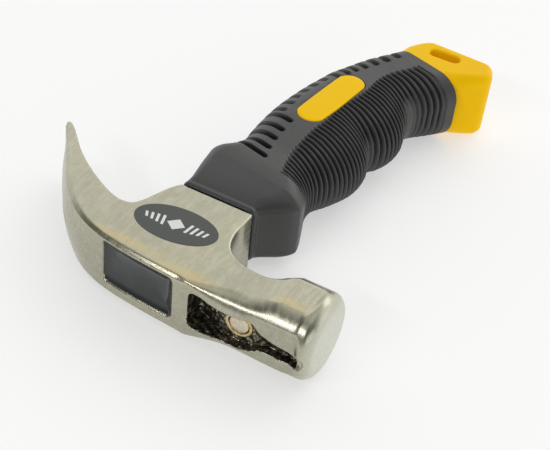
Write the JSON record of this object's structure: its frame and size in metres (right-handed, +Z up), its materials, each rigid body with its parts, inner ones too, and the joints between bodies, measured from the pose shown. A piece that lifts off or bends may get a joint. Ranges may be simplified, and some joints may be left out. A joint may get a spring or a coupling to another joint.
{
  "type": "stubby claw hammer",
  "caption": "Short-handled claw hammer with an octagonal poll, a magnetic nail starter, a resin-bonded eye and a ribbed rubber grip over a hard butt with a hanging slot.",
  "frame": {"origin": "under the middle of the hammer's box, on the surface that it lies on when it is laid on its side", "axes": "+X from the claw to the striking face, +Y from the head to the butt, +Z up through the hammer's thickness"},
  "size_m": [0.1062, 0.1491, 0.0252],
  "materials": {
    "forged_steel": "linished satin steel under clear lacquer",
    "cup_brass": "satin",
    "magnet_nickel": "nickel plated, dull",
    "black_resin": "cast glossy resin",
    "glass_fibre": "pultruded rod",
    "label_grey": "printed satin label",
    "yellow_plastic": "moulded, semi-gloss",
    "black_rubber": "moulded soft rubber, matt"
  },
  "bodies": {
    "root": {"head": "forged_steel", "magnet_cup": "cup_brass", "nail_magnet": "magnet_nickel", "eye_resin": "black_resin", "core_rod": "glass_fibre", "oval_label": "label_grey", "handle_body": "yellow_plastic", "grip_overmould": "black_rubber"}
  },
  "joints": []
}
